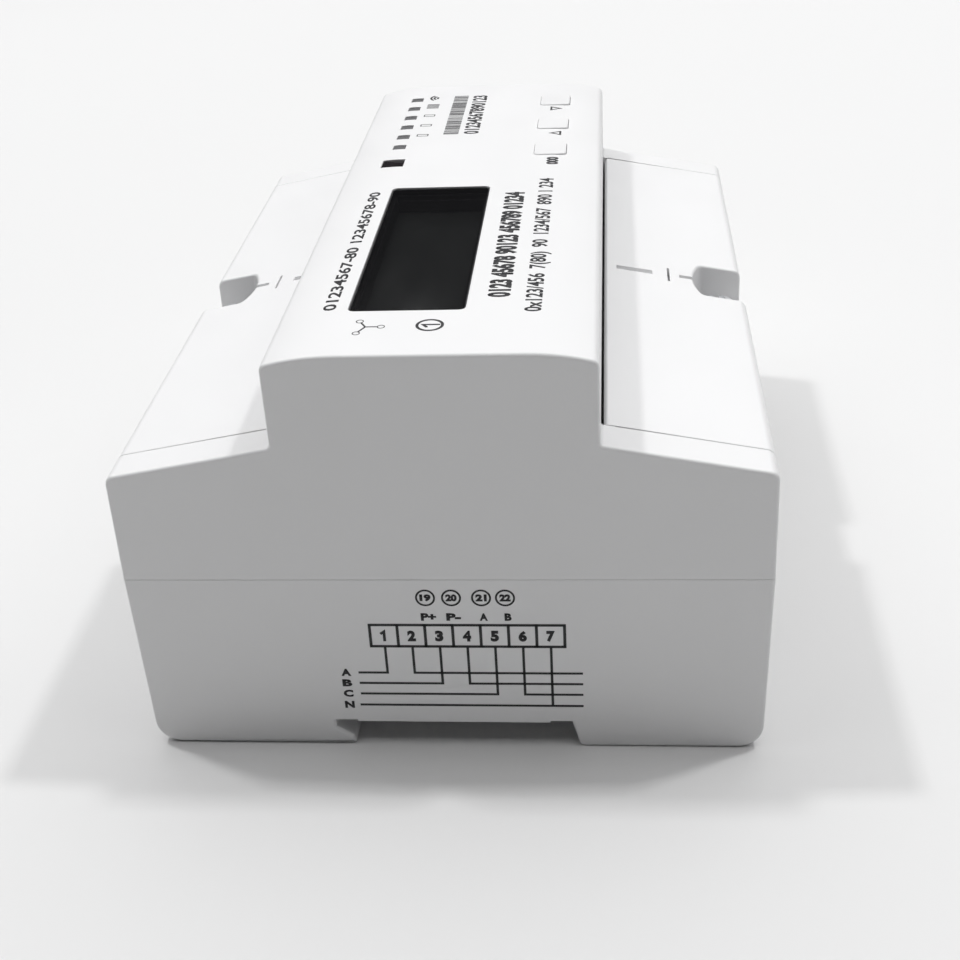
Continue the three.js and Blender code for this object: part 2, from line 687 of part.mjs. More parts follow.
function place(mesh, x = 0, y = 0, z = 0, parent = meter) {
  mesh.position.set(x, y, z);
  parent.add(mesh);
}

place(meshOf("base_housing", baseHousing(), WHITE_SHELL));
place(meshOf("front_housing", frontHousing(), WHITE_SHELL));
CORNERS.forEach(([x, y], i) => {
  place(meshOf(`case_screw_${i + 1}`, caseScrew(), STEEL), x, y);
});

place(meshOf("upper_terminal_cover", terminalCover(1), WHITE_COVER));
place(meshOf("lower_terminal_cover", terminalCover(-1), WHITE_COVER));
place(meshOf("upper_seal_screw", sealScrew(), STEEL), 0, SEAL_SCREW_Y);
place(meshOf("lower_seal_screw", sealScrew(), STEEL), 0, -SEAL_SCREW_Y);

place(meshOf("display_window", displayWindow(), SMOKED));
place(meshOf("lcd_module", lcdModule(), LCD));
place(meshOf("led_light_guide", ledLightGuide(), GUIDE));
place(meshOf("optical_port", opticalPort(), OPTICAL));
BUTTON.names.forEach((name, i) => {
  place(meshOf(`button_${name}`, buttonCap(), WHITE_COVER), buttonX(i), BUTTON.y);
  place(meshOf(`tact_switch_${name}`, tactSwitch(), COMPONENT), buttonX(i), BUTTON.y);
});

place(meshOf("display_board", displayBoard(), BOARD));
place(meshOf("main_board", mainBoard(), BOARD));
place(meshOf("wifi_module", wifiModule(), CAN));
place(meshOf("supply_transformer", supplyTransformer(), COMPONENT));
place(meshOf("storage_capacitor", storageCapacitor(), COMPONENT));
place(meshOf("ribbon_cable", ribbonCable(), RIBBON));

// Phases take two neighbouring terminals each: line in, load out. The last one is neutral.
["a", "b", "c"].forEach((phase, i) => {
  const line = terminalX(2 * i);
  const load = terminalX(2 * i + 1);
  place(meshOf(`current_transformer_${phase}`, currentTransformer(), COMPONENT), line);
  place(meshOf(`relay_${phase}`, relay(), RELAY_CASE), (line + load) / 2);
  place(meshOf(`line_busbar_${phase}`, busbar(-9), COPPER), line);
  place(meshOf(`load_busbar_${phase}`, busbar(-9), COPPER), load);
});
place(meshOf("neutral_busbar", busbar(4), COPPER), terminalX(TERMINAL_COUNT - 1));

TERMINALS.forEach((i) => {
  const terminal = new THREE.Group();
  terminal.position.set(terminalX(i), TERMINAL_Y, 0);
  place(meshOf(`terminal_cage_${i + 1}`, terminalCage(), BRASS), 0, 0, 0, terminal);
  place(meshOf(`terminal_screw_${i + 1}`, terminalScrew(), STEEL), 0, 0, 0, terminal);
  meter.add(terminal);
});

place(meshOf("aux_terminal_block", auxTerminalBlock(), TERMINAL_BLOCK));
range(AUX_COUNT).forEach((i) => {
  place(meshOf(`aux_screw_${i + 19}`, auxScrew(), STEEL), auxX(i), AUX_Y);
});

place(meshOf("left_rail_clip", railClip(), CLIP_PLASTIC), -CLIP_X);
place(meshOf("right_rail_clip", railClip(), CLIP_PLASTIC), CLIP_X);

export default meter;
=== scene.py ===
import json
import math
import random

import bmesh
import bpy
from mathutils import Matrix, Vector

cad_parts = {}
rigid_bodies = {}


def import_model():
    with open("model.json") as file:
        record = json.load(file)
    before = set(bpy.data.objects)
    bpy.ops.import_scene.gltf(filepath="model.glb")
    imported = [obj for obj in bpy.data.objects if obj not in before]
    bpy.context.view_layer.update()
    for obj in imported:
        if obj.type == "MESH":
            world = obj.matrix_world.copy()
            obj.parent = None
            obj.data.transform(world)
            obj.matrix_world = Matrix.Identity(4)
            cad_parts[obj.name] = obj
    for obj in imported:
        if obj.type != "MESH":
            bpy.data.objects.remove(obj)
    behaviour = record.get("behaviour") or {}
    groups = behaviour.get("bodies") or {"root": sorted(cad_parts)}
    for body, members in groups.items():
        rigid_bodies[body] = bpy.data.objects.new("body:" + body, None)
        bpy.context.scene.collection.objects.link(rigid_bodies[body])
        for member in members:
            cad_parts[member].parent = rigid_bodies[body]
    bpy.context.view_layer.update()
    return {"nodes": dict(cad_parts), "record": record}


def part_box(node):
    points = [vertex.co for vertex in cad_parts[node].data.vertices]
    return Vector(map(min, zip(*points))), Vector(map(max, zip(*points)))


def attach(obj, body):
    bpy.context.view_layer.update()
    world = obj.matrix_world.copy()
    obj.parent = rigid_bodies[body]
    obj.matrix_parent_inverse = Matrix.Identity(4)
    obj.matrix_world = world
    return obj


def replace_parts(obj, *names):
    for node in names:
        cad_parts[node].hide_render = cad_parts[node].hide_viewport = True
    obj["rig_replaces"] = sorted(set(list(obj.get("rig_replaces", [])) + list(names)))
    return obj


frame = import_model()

MM = 0.001
RECORD = frame["record"]
BODY_OF = {
    node: body for body, nodes in RECORD["behaviour"]["bodies"].items() for node in nodes
}
SLOT_OF = {row["node"]: row["material_slot"] for row in RECORD["subparts"]}
WHITE = (0.84, 0.84, 0.845)


def corners_mm(node):
    """Lowest and highest corner of a CAD node, in millimetres."""
    low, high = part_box(node)
    return low / MM, high / MM


# ---------------------------------------------------------------- driving dimensions

FRONT_HIGH = corners_mm("front_housing")[1]
END = FRONT_HIGH.x  # half length of the housing
FRONT_Z = FRONT_HIGH.z
SEAM_Z = 29.7  # parting plane between the two shells
CROWN_FLAT = 12.5  # half width of the flat middle of the front panel
CROWN_RADIUS = 36  # the panel's edges fall away on this radius
INK_THICKNESS = 0.02
SHOULDER_OUTER = (45.8, 46.5)  # (y, z) of a shoulder's outer and inner edge
SHOULDER_INNER = (22.2, 50.9)
SHOULDER_SLOPE = (SHOULDER_OUTER[1] - SHOULDER_INNER[1]) / (SHOULDER_OUTER[0] - SHOULDER_INNER[0])
TERMINAL_FLOOR_Z = 36.3
SEAM_HALF_GAP = 0.015  # hairline between the two shells
COVER_END_GAP = 0.16  # between a cover's end and the strip beside it
NEAR = 0.01  # how close a vertex lies to the place that it is looked up by

WINDOW_LOW, WINDOW_HIGH = corners_mm("display_window")
WINDOW_FLANGE = 1.4
LCD_TOP_Z = corners_mm("lcd_module")[1].z


def shoulder_z(y):
    """Height of the sloped shoulders at y."""
    return SHOULDER_INNER[1] + SHOULDER_SLOPE * (abs(y) - SHOULDER_INNER[0])


def crown_z(y):
    """Height of the front panel's surface at y."""
    return FRONT_Z - max(0.0, abs(y) - CROWN_FLAT) ** 2 / (2 * CROWN_RADIUS)


# ---------------------------------------------------------------- materials


class Look:
    """A Principled material in the making, with short calls for the nodes that feed it."""

    def __init__(self, name, color, roughness, metallic=0.0, ior=1.5):
        self.material = bpy.data.materials.new(name)
        self.material.use_nodes = True
        self.nodes = self.material.node_tree.nodes
        self.links = self.material.node_tree.links
        self.shader = self.nodes["Principled BSDF"]
        self.set("Base Color", (*color, 1.0))
        self.set("Roughness", roughness)
        self.set("Metallic", metallic)
        self.set("IOR", ior)
        self.place = self.nodes.new("ShaderNodeTexCoord").outputs["Object"]

    def set(self, socket, value):
        self.shader.inputs[socket].default_value = value

    def feed(self, socket, output):
        self.links.new(output, self.shader.inputs[socket])

    def node(self, kind, links=(), values=(), **settings):
        """A node with its properties, linked inputs and constant inputs."""
        made = self.nodes.new(kind)
        for key, value in settings.items():
            setattr(made, key, value)
        for key, output in dict(links).items():
            self.links.new(output, made.inputs[key])
        for key, value in dict(values).items():
            made.inputs[key].default_value = value
        return made

    def stretched(self, x, y, z):
        """The piece's own coordinates, scaled along each axis."""
        return self.node(
            "ShaderNodeMapping", {"Vector": self.place}, {"Scale": (x, y, z)}
        ).outputs["Vector"]

    def noise(self, scale, detail=2.0, place=None, roughness=0.5):
        return self.node(
            "ShaderNodeTexNoise",
            {"Vector": place or self.place},
            {"Scale": scale, "Detail": detail, "Roughness": roughness},
        ).outputs["Fac"]

    def spread(self, factor, low, high, start=0.3, stop=0.7):
        """The factor's range from start to stop, stretched to low to high and held there."""
        return self.node(
            "ShaderNodeMapRange",
            {"Value": factor},
            {"From Min": start, "From Max": stop, "To Min": low, "To Max": high},
        ).outputs["Result"]

    def blend(self, factor, first, second):
        """Two colours mixed by a factor. Either may be a colour or a node's output."""
        mix = self.nodes.new("ShaderNodeMix")
        mix.data_type = "RGBA"
        self.links.new(factor, mix.inputs["Factor"])
        for socket, color in ((mix.inputs[6], first), (mix.inputs[7], second)):
            if isinstance(color, tuple):
                socket.default_value = (*color, 1.0)
            else:
                self.links.new(color, socket)
        return mix.outputs[2]

    def bump(self, height, strength, distance, onto=None):
        links = {"Height": height}
        if onto is not None:
            links["Normal"] = onto
        return self.node(
            "ShaderNodeBump", links, {"Strength": strength, "Distance": distance}
        ).outputs["Normal"]

    def edges(self, radius):
        """About 1 along the piece's edges and 0 on its faces."""
        soft = self.node("ShaderNodeBevel", (), {"Radius": radius}, samples=4)
        true = self.nodes.new("ShaderNodeNewGeometry")
        turn = self.node(
            "ShaderNodeVectorMath",
            {0: soft.outputs["Normal"], 1: true.outputs["Normal"]},
            operation="DOT_PRODUCT",
        )
        return self.spread(turn.outputs["Value"], 1.0, 0.0, 0.9, 0.995)


def shaded(color, factor):
    return tuple(channel * factor for channel in color)


EDGE_POLISH = 0.1  # how much smoother a moulded piece is along its edges


def moulded_plastic(name, color, roughness, grain, mottle=0.012):
    """Injection-moulded plastic: eroded grain, faint flow mottling, edges polished by handling."""
    look = Look(name, color, roughness)
    flow = look.noise(45, 3, look.stretched(0.5, 1.3, 1.0))
    mottled = look.blend(flow, shaded(color, 1 - mottle), shaded(color, 1 + mottle))
    worn = look.edges(0.3 * MM)
    look.feed("Base Color", look.blend(worn, mottled, shaded(color, 1 + 2 * mottle)))
    handling = look.noise(130, 5, roughness=0.65)
    smudged = look.spread(handling, roughness - 0.05, roughness + 0.06)
    polished = look.node(
        "ShaderNodeMath", {0: worn, 2: smudged}, {1: -EDGE_POLISH}, operation="MULTIPLY_ADD"
    )
    look.feed("Roughness", polished.outputs["Value"])
    fine = look.noise(2600, 2)
    coarse = look.noise(420, 2)
    waves = look.bump(coarse, 0.10, 0.02 * MM)
    look.feed("Normal", look.bump(fine, grain, 0.02 * MM, waves))
    return look


def dark_plastic(name, color, roughness):
    """Dark moulded plastic, with coarser grain and stronger mottling."""
    return moulded_plastic(name, color, roughness, grain=0.35, mottle=0.12)


def plated_metal(name, color, roughness, brushed, tarnish, spots):
    """Metal with drawn lines along its length, cloudy tarnish and worn, brighter edges."""
    look = Look(name, color, roughness, metallic=1.0)
    lines = look.noise(900, 3, look.stretched(*brushed))
    clouds = look.noise(spots, 4, roughness=0.6)
    stained = look.blend(look.spread(clouds, 0.0, 1.0, 0.45, 0.75), color, tarnish)
    worn = look.edges(0.35 * MM)
    look.feed("Base Color", look.blend(worn, stained, shaded(color, 1.08)))
    look.feed("Roughness", look.spread(lines, roughness - 0.09, roughness + 0.12, 0.25, 0.75))
    look.feed("Normal", look.bump(lines, 0.25, 0.02 * MM))
    return look


def circuit_board():
    """Green solder mask over copper tracks, with tinned vias."""
    mask = (0.018, 0.115, 0.045)
    look = Look("circuit_board", mask, 0.38)
    tracks = look.node(
        "ShaderNodeTexBrick",
        {"Vector": look.place},
        {
            "Scale": 150.0,
            "Mortar Size": 0.035,
            "Mortar Smooth": 0.1,
            "Brick Width": 1.6,
            "Row Height": 0.28,
        },
        offset_frequency=3,
        squash=0.6,
        squash_frequency=2,
    )
    cells = look.node(
        "ShaderNodeTexVoronoi", {"Vector": look.place}, {"Scale": 260.0, "Randomness": 0.8}
    )
    vias = look.spread(cells.outputs["Distance"], 1.0, 0.0, 0.11, 0.14)
    weave = look.noise(1800, 2, look.stretched(1.0, 0.2, 1.0))
    tracked = look.blend(tracks.outputs["Fac"], mask, (0.03, 0.2, 0.075))
    look.feed("Base Color", look.blend(vias, tracked, (0.55, 0.53, 0.48)))
    look.feed("Roughness", look.spread(weave, 0.3, 0.5))
    look.feed("Metallic", vias)
    look.feed("Normal", look.bump(tracks.outputs["Fac"], 0.5, 0.03 * MM))
    return look


def smoked_pane():
    """Smoked acrylic: what lies behind shows through it, darkened."""
    look = Look("smoked_pane", (0.006, 0.006, 0.007), 0.06, ior=1.49)
    look.set("Alpha", 0.52)
    wipes = look.noise(60, 4, look.stretched(1.0, 3.0, 1.0))
    look.feed("Roughness", look.spread(wipes, 0.04, 0.1))
    look.feed("Normal", look.bump(look.noise(90, 2), 0.02, 0.05 * MM))
    return look


def lcd_glass():
    """Switched-off liquid-crystal cell: a grey-green polariser with a faint satin grain."""
    color = (0.11, 0.118, 0.115)
    look = Look("lcd_glass", color, 0.34)
    clouds = look.noise(25, 2)
    look.feed("Base Color", look.blend(clouds, shaded(color, 0.93), shaded(color, 1.07)))
    look.feed("Roughness", look.spread(look.noise(700, 2), 0.3, 0.4))
    look.feed("Normal", look.bump(look.noise(1500, 2), 0.02, 0.01 * MM))
    return look


def light_guide():
    """Unlit clear plastic that looks grey, with streaks along the light's path."""
    color = (0.12, 0.12, 0.125)
    look = Look("light_guide", color, 0.3, ior=1.49)
    look.set("Subsurface Weight", 0.15)
    look.set("Subsurface Radius", (0.6 * MM, 0.6 * MM, 0.6 * MM))
    streaks = look.noise(500, 3, look.stretched(1.0, 1.0, 0.15))
    look.feed("Base Color", look.blend(streaks, shaded(color, 0.85), shaded(color, 1.15)))
    look.feed("Roughness", look.spread(look.noise(900, 2), 0.24, 0.38))
    look.feed("Normal", look.bump(streaks, 0.05, 0.02 * MM))
    return look


def optical_black():
    """Pane that lets only infrared through: near black and glossy."""
    color = (0.008, 0.007, 0.009)
    look = Look("optical_black", color, 0.16, ior=1.52)
    wipes = look.noise(250, 4, look.stretched(1.0, 2.5, 1.0))
    look.feed("Base Color", look.blend(wipes, color, (0.014, 0.009, 0.012)))
    look.feed("Roughness", look.spread(wipes, 0.12, 0.22))
    look.feed("Normal", look.bump(look.noise(400, 2), 0.03, 0.02 * MM))
    return look


def ribbon():
    """Flat cable: parallel wires side by side, each a shallow ridge."""
    color = (0.33, 0.34, 0.36)
    look = Look("ribbon", color, 0.5)
    wires = look.node(
        "ShaderNodeTexWave", {"Vector": look.place}, {"Scale": 250.0}, bands_direction="X"
    ).outputs["Fac"]
    look.feed("Base Color", look.blend(wires, shaded(color, 0.7), shaded(color, 1.15)))
    look.feed("Roughness", look.spread(look.noise(600, 2), 0.45, 0.6))
    look.feed("Normal", look.bump(wires, 0.6, 0.15 * MM))
    return look


def printing_ink(name, color):
    """Screen-printed ink: slightly uneven cover over a satin surface."""
    look = Look(name, color, 0.5)
    cover = look.noise(900, 3)
    look.feed("Base Color", look.blend(cover, shaded(color, 0.8), shaded(color, 1.25)))
    look.feed("Roughness", look.spread(cover, 0.42, 0.58))
    look.feed("Normal", look.bump(look.noise(2500, 2), 0.15, 0.01 * MM))
    return look


LOOKS = {
    "housing_white": moulded_plastic("housing_white", WHITE, 0.42, 0.12),
    "cover_white": moulded_plastic("cover_white", shaded(WHITE, 1.01), 0.4, 0.12),
    "button_white": moulded_plastic("button_white", shaded(WHITE, 1.01), 0.36, 0.08),
    "clip_plastic": moulded_plastic("clip_plastic", (0.62, 0.62, 0.61), 0.5, 0.3, 0.05),
    "smoked_pane": smoked_pane(),
    "lcd_glass": lcd_glass(),
    "light_guide": light_guide(),
    "optical_black": optical_black(),
    "circuit_board": circuit_board(),
    "component_black": dark_plastic("component_black", (0.014, 0.014, 0.016), 0.45),
    "relay_case": dark_plastic("relay_case", (0.03, 0.036, 0.05), 0.5),
    "screening_can": plated_metal(
        "screening_can", (0.62, 0.63, 0.64), 0.34, (0.1, 1.0, 1.0), (0.45, 0.45, 0.44), 200
    ),
    "copper": plated_metal(
        "copper", (0.83, 0.43, 0.26), 0.32, (1.0, 0.08, 1.0), (0.42, 0.19, 0.11), 160
    ),
    "cage_brass": plated_metal(
        "cage_brass", (0.80, 0.62, 0.30), 0.34, (1.0, 1.0, 0.1), (0.52, 0.38, 0.17), 220
    ),
    "screw_steel": plated_metal(
        "screw_steel", (0.66, 0.67, 0.69), 0.32, (1.0, 1.0, 0.2), (0.46, 0.47, 0.5), 350
    ),
    "terminal_block": dark_plastic("terminal_block", (0.018, 0.019, 0.022), 0.5),
    "ribbon": ribbon(),
}
PANEL_INK = printing_ink("panel_ink", (0.016, 0.016, 0.019))
END_INK = printing_ink("end_ink", (0.006, 0.006, 0.007))


# ---------------------------------------------------------------- mesh work

WELD = 0.002 * MM
FLAT_ANGLE = math.radians(0.6)
SHARP_ANGLE = math.radians(28)
SMOOTH_ANGLE = math.radians(40)
STRAIGHT_ON = math.cos(math.radians(50))


def new_piece(name, shape, look, body):
    """Turns a bmesh into a piece that rides on a CAD body."""
    mesh = bpy.data.meshes.new(name)
    shape.to_mesh(mesh)
    shape.free()
    mesh.materials.append(look.material)
    piece = bpy.data.objects.new(name, mesh)
    bpy.context.scene.collection.objects.link(piece)
    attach(piece, body)
    return piece


def welded_shape(node):
    """A CAD node's surface with its corners joined up and its flat faces whole."""
    shape = bmesh.new()
    shape.from_mesh(frame["nodes"][node].data)
    bmesh.ops.remove_doubles(shape, verts=shape.verts, dist=WELD)
    bmesh.ops.dissolve_limit(
        shape, angle_limit=FLAT_ANGLE, verts=shape.verts, edges=shape.edges
    )
    return shape


def is_sharp(edge):
    return len(edge.link_faces) == 2 and edge.calc_face_angle() > SHARP_ANGLE


def room_beside(edge):
    """How wide this edge may be rounded before it eats up a neighbouring edge."""
    room = math.inf
    for vertex in edge.verts:
        along = (vertex.co - edge.other_vert(vertex).co).normalized()
        for other in vertex.link_edges:
            if other is edge:
                continue
            onward = (other.other_vert(vertex).co - vertex.co).normalized()
            if is_sharp(other) and along.dot(onward) > STRAIGHT_ON:
                continue
            room = min(room, 0.4 * other.calc_length())
    return room


def settle(piece):
    """Applies the piece's modifiers to its mesh."""
    graph = bpy.context.evaluated_depsgraph_get()
    mesh = bpy.data.meshes.new_from_object(piece.evaluated_get(graph))
    piece.modifiers.clear()
    piece.data = mesh
    mesh.name = piece.name


def round_edges(piece, width_at, segments=3):
    """Rounds each sharp edge by width_at(middle, convex) mm, or less where there is no room."""
    shape = bmesh.new()
    shape.from_mesh(piece.data)
    weights = shape.edges.layers.float.new("bevel_weight_edge")
    wanted = {}
    for edge in shape.edges:
        if is_sharp(edge):
            middle = (edge.verts[0].co + edge.verts[1].co) / 2 / MM
            wanted[edge] = min(width_at(middle, edge.is_convex) * MM, room_beside(edge))
    widest = max(wanted.values())
    for edge, width in wanted.items():
        edge[weights] = width / widest
    shape.to_mesh(piece.data)
    shape.free()
    bevel = piece.modifiers.new("Rounding", "BEVEL")
    bevel.limit_method = "WEIGHT"
    bevel.width = widest
    bevel.segments = segments
    bevel.face_strength_mode = "FSTR_ALL"
    bevel.use_clamp_overlap = False
    settle(piece)
    piece.data.shade_smooth()
    piece.data.set_sharp_from_angle(angle=SMOOTH_ANGLE)
    normals = piece.modifiers.new("Even shading", "WEIGHTED_NORMAL")
    normals.keep_sharp = True
    normals.use_face_influence = True
    settle(piece)


def even_width(convex_width, concave_width=0.0):
    """The same rounding everywhere, for round_edges."""
    return lambda middle, convex: convex_width if convex else concave_width


def detailed(node, name, width_at, reshape=None, segments=3):
    """A piece that stands for one CAD node: its own surface, reshaped and with rounded edges."""
    shape = welded_shape(node)
    if reshape:
        for vertex in shape.verts:
            vertex.co = reshape(vertex.co / MM) * MM
    slot = SLOT_OF[node]
    piece = new_piece(name, shape, LOOKS[slot], BODY_OF[node])
    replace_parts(piece, node)
    round_edges(piece, width_at, segments)
    return piece


# ---------------------------------------------------------------- housing and covers

# Channels of the two rail clips: middle, half width, height, and height at the lower end.
CLIP_CHANNEL = {"x": 31.5, "half_width": 7.5, "ceiling": 3.6, "mouth": 3.42}
CLIP_MOUTH_Y = -40


def in_clip_mouth(x, y):
    """Whether a place lies at the lower end of a rail clip's channel."""
    return y < CLIP_MOUTH_Y and abs(abs(x) - CLIP_CHANNEL["x"]) < CLIP_CHANNEL["half_width"] + 0.1


def fit_shell(point):
    """Draws the shells together to a hairline, lowers the clips' mouths and makes room for ink."""
    x, y, z = point
    if in_clip_mouth(x, y) and abs(z - CLIP_CHANNEL["ceiling"]) < 0.02:
        z = CLIP_CHANNEL["mouth"]
    if abs(z - SEAM_Z) < 0.2:
        z = SEAM_Z + math.copysign(SEAM_HALF_GAP, z - SEAM_Z)
    if abs(x) > END - NEAR:
        x = math.copysign(END - INK_THICKNESS, x)
    return Vector((x, y, z))


RAIL_SIDE_Z = 6  # below it the inner corners stay sharp, for the rail clips to slide in
END_ROUNDING = 0.5
SHELL_ROUNDING = 0.2
SEAM_ROUNDING = 0.09
CLIP_MOUTH_ROUNDING = 0.06
INNER_CORNER_ROUNDING = 0.12
RAIL_SIDE_INNER_ROUNDING = 0.03
PANEL_OPENING_ROUNDING = 0.08
PANEL_OPENINGS_HALF_WIDTH = 17.5


def shell_rounding(middle, convex):
    """Width of an edge's rounding on the shells, by where the edge's middle lies."""
    x, y, z = middle
    if not convex:
        return INNER_CORNER_ROUNDING if z > RAIL_SIDE_Z else RAIL_SIDE_INNER_ROUNDING
    if abs(z - SEAM_Z) < 0.1:
        return SEAM_ROUNDING
    if in_clip_mouth(x, y) and z < RAIL_SIDE_Z:
        return CLIP_MOUTH_ROUNDING
    if abs(abs(x) - END) < 0.1:
        return END_ROUNDING
    if z > FRONT_Z - 0.4 and abs(y) < PANEL_OPENINGS_HALF_WIDTH:
        return PANEL_OPENING_ROUNDING
    return SHELL_ROUNDING


COVER_INNER_Y = 22.6
COVER_HALF_LENGTH = 56.5
COVER_RECESS_HALF_LENGTH = 56.8  # of the opening that a cover lies in
HINGE_ROUNDING = 0.855  # radius of the cover's inner top edge in the CAD
CRISP_HINGE_ROUNDING = 0.4
HINGE_AXIS = next(
    Vector(joint["pos_m"]) / MM
    for joint in RECORD["behaviour"]["joints"]
    if joint["name"] == "upper_cover_hinge"
)
HINGE_PIN_RADIUS = 0.45
SLIT_GROWTH = 0.25  # the slit beside the panel is this much wider at its mouth
POCKET_HALF_WIDTH = 6.3
POCKET_DEEPEST_Y = 37.4
POCKET_RIM_Z = 42  # the pocket's rim lies above this height, and its floor below
MARKS_Z = 46  # the marks lie above this height
POCKET_RIM_ROUNDING = 0.45
MARK_ROUNDING = 0.08
COVER_ROUNDING = 0.22
COVER_INNER_CORNER_ROUNDING = 0.1

# Marks moulded into the covers: half width, from y, to y and depth.
COVER_MARKS = [(0.8, 24.6, 30.6, 1.2), (2.8, 33.1, 33.5, 1.65), (0.6, 35.1, POCKET_DEEPEST_Y, 1.2)]


def mark_depth(x, y):
    """Depth of the mark that holds this place, or nothing."""
    for half_width, start, stop, depth in COVER_MARKS:
        if abs(x) < half_width + 0.05 and start - 0.05 < abs(y) < stop + 0.1:
            return depth
    return None


def fit_cover(point):
    """Fits the cover's ends to the strips beside them, and sharpens its inner edge and marks."""
    x, y, z = point
    depth = mark_depth(x, y)
    if depth and 0.2 < shoulder_z(y) - z < 1.7:
        z = shoulder_z(y) - depth
    if abs(abs(x) - COVER_HALF_LENGTH) < NEAR:
        x = math.copysign(COVER_RECESS_HALF_LENGTH - COVER_END_GAP, x)
    if math.hypot(abs(y) - HINGE_AXIS.y, z - HINGE_AXIS.z) < HINGE_PIN_RADIUS + NEAR:
        return Vector((x, y, z))
    corner_z = shoulder_z(COVER_INNER_Y)
    reach = HINGE_ROUNDING + NEAR
    if abs(y) - COVER_INNER_Y < reach and corner_z - z < reach:
        tighter = CRISP_HINGE_ROUNDING / HINGE_ROUNDING
        y = math.copysign(COVER_INNER_Y + (abs(y) - COVER_INNER_Y) * tighter, y)
        z = corner_z + (z - corner_z) * tighter
        y += math.copysign(SLIT_GROWTH, y)
        z += SLIT_GROWTH * SHOULDER_SLOPE
    return Vector((x, y, z))


def cover_rounding(middle, convex):
    """Soft rims round the sealing pocket and crisp ones along the marks."""
    x, y, z = middle
    if not convex:
        return COVER_INNER_CORNER_ROUNDING
    beside_pocket = abs(y) > POCKET_DEEPEST_Y - 0.1 and abs(x) < POCKET_HALF_WIDTH + 0.1
    if beside_pocket and z > POCKET_RIM_Z:
        return POCKET_RIM_ROUNDING
    if abs(x) < 3 and z > MARKS_Z:
        return MARK_ROUNDING
    return COVER_ROUNDING


detailed("base_housing", "back_shell", shell_rounding, fit_shell)
detailed("front_housing", "front_shell", shell_rounding, fit_shell)
for side in ("upper", "lower"):
    detailed(f"{side}_terminal_cover", f"{side}_cover_plate", cover_rounding, fit_cover)


# ---------------------------------------------------------------- front panel pieces

KEY_GROWTH = 0.26  # the real gap round a key is finer than the CAD clearance
KEY_ROOT_Z = 62  # a key grows above this height, and its flange lies below
KEY_DROP = 0.12  # the keys' tops stand this much lower than the CAD's at rest
KEY_CORNER = 0.5
KEY_FLANGE = 0.8  # width of the flange that goes round a key, behind the panel


def grow_key(node):
    """Widens a key by the same width all round, corners included, so that it clears its opening."""
    low, high = corners_mm(node)
    centre = (low + high) / 2
    straight = [(high[k] - low[k]) / 2 - KEY_FLANGE - KEY_CORNER for k in range(2)]

    def reshape(point):
        x, y, z = point
        if z > KEY_ROOT_Z:
            outwards = Vector((x - centre.x, y - centre.y))
            for k in range(2):
                outwards[k] -= max(-straight[k], min(straight[k], outwards[k]))
            outwards.normalize()
            x += outwards.x * KEY_GROWTH
            y += outwards.y * KEY_GROWTH
            z -= KEY_DROP
        return Vector((x, y, z))

    return reshape


for key in ("set", "up", "down"):
    detailed(f"button_{key}", f"key_{key}", even_width(0.18), grow_key(f"button_{key}"))

GUIDE_GROWTH = 0.26
GUIDE_PITCH = 5.94
GUIDE_ROW_Y = 14
GUIDE_ROOT_Z = 58  # the prongs stand above this height
GUIDE_SPINE_END = 2  # from the spine's end to the middle of the first prong


def grow_guide(point):
    """Fills the openings of the panel with the ends of the light guide."""
    x, y, z = point
    if z > GUIDE_ROOT_Z:
        first = corners_mm("led_light_guide")[0].x + GUIDE_SPINE_END
        nearest = first + round((x - first) / GUIDE_PITCH) * GUIDE_PITCH
        x += math.copysign(GUIDE_GROWTH, x - nearest)
        y += math.copysign(GUIDE_GROWTH, y - GUIDE_ROW_Y)
    return Vector((x, y, z))


detailed("led_light_guide", "indicator_guide", even_width(0.12), grow_guide)


PORT_GROWTH = 0.27
PORT_ROOT_Z = 60.5  # the pane stands above this height, and its flange lies below


def grow_port(point):
    """Fills the opening of the panel with the optical pane."""
    x, y, z = point
    low, high = corners_mm("optical_port")
    if z > PORT_ROOT_Z:
        x += math.copysign(PORT_GROWTH, x - (low.x + high.x) / 2)
        y += math.copysign(PORT_GROWTH, y - (low.y + high.y) / 2)
    return Vector((x, y, z))


detailed("optical_port", "optical_lens", even_width(0.15), grow_port)


def rounded_rectangle(low, high, inset, radius, steps=5):
    """Points of a rectangle with rounded corners, drawn in from low and high by inset."""
    radius = max(radius - inset, 0.05)
    points = []
    for quarter, (sx, sy) in enumerate(((1, 1), (-1, 1), (-1, -1), (1, -1))):
        cx = (high[0] - inset - radius) if sx > 0 else (low[0] + inset + radius)
        cy = (high[1] - inset - radius) if sy > 0 else (low[1] + inset + radius)
        for step in range(steps + 1):
            angle = math.radians(90 * (quarter + step / steps))
            points.append((cx + radius * math.cos(angle), cy + radius * math.sin(angle)))
    return points


def swept_frame(section, low, high, radius):
    """A closed section of (inset, z) points, carried round a rounded rectangle."""
    shape = bmesh.new()
    rings = []
    for inset, z in section:
        outline = rounded_rectangle(low, high, inset, radius)
        rings.append([shape.verts.new(Vector((x, y, z)) * MM) for x, y in outline])
    for ring, following in zip(rings, rings[1:] + rings[:1]):
        for i, vertex in enumerate(ring):
            j = (i + 1) % len(ring)
            shape.faces.new((vertex, ring[j], following[j], following[i]))
    bmesh.ops.recalc_face_normals(shape, faces=shape.faces)
    return shape


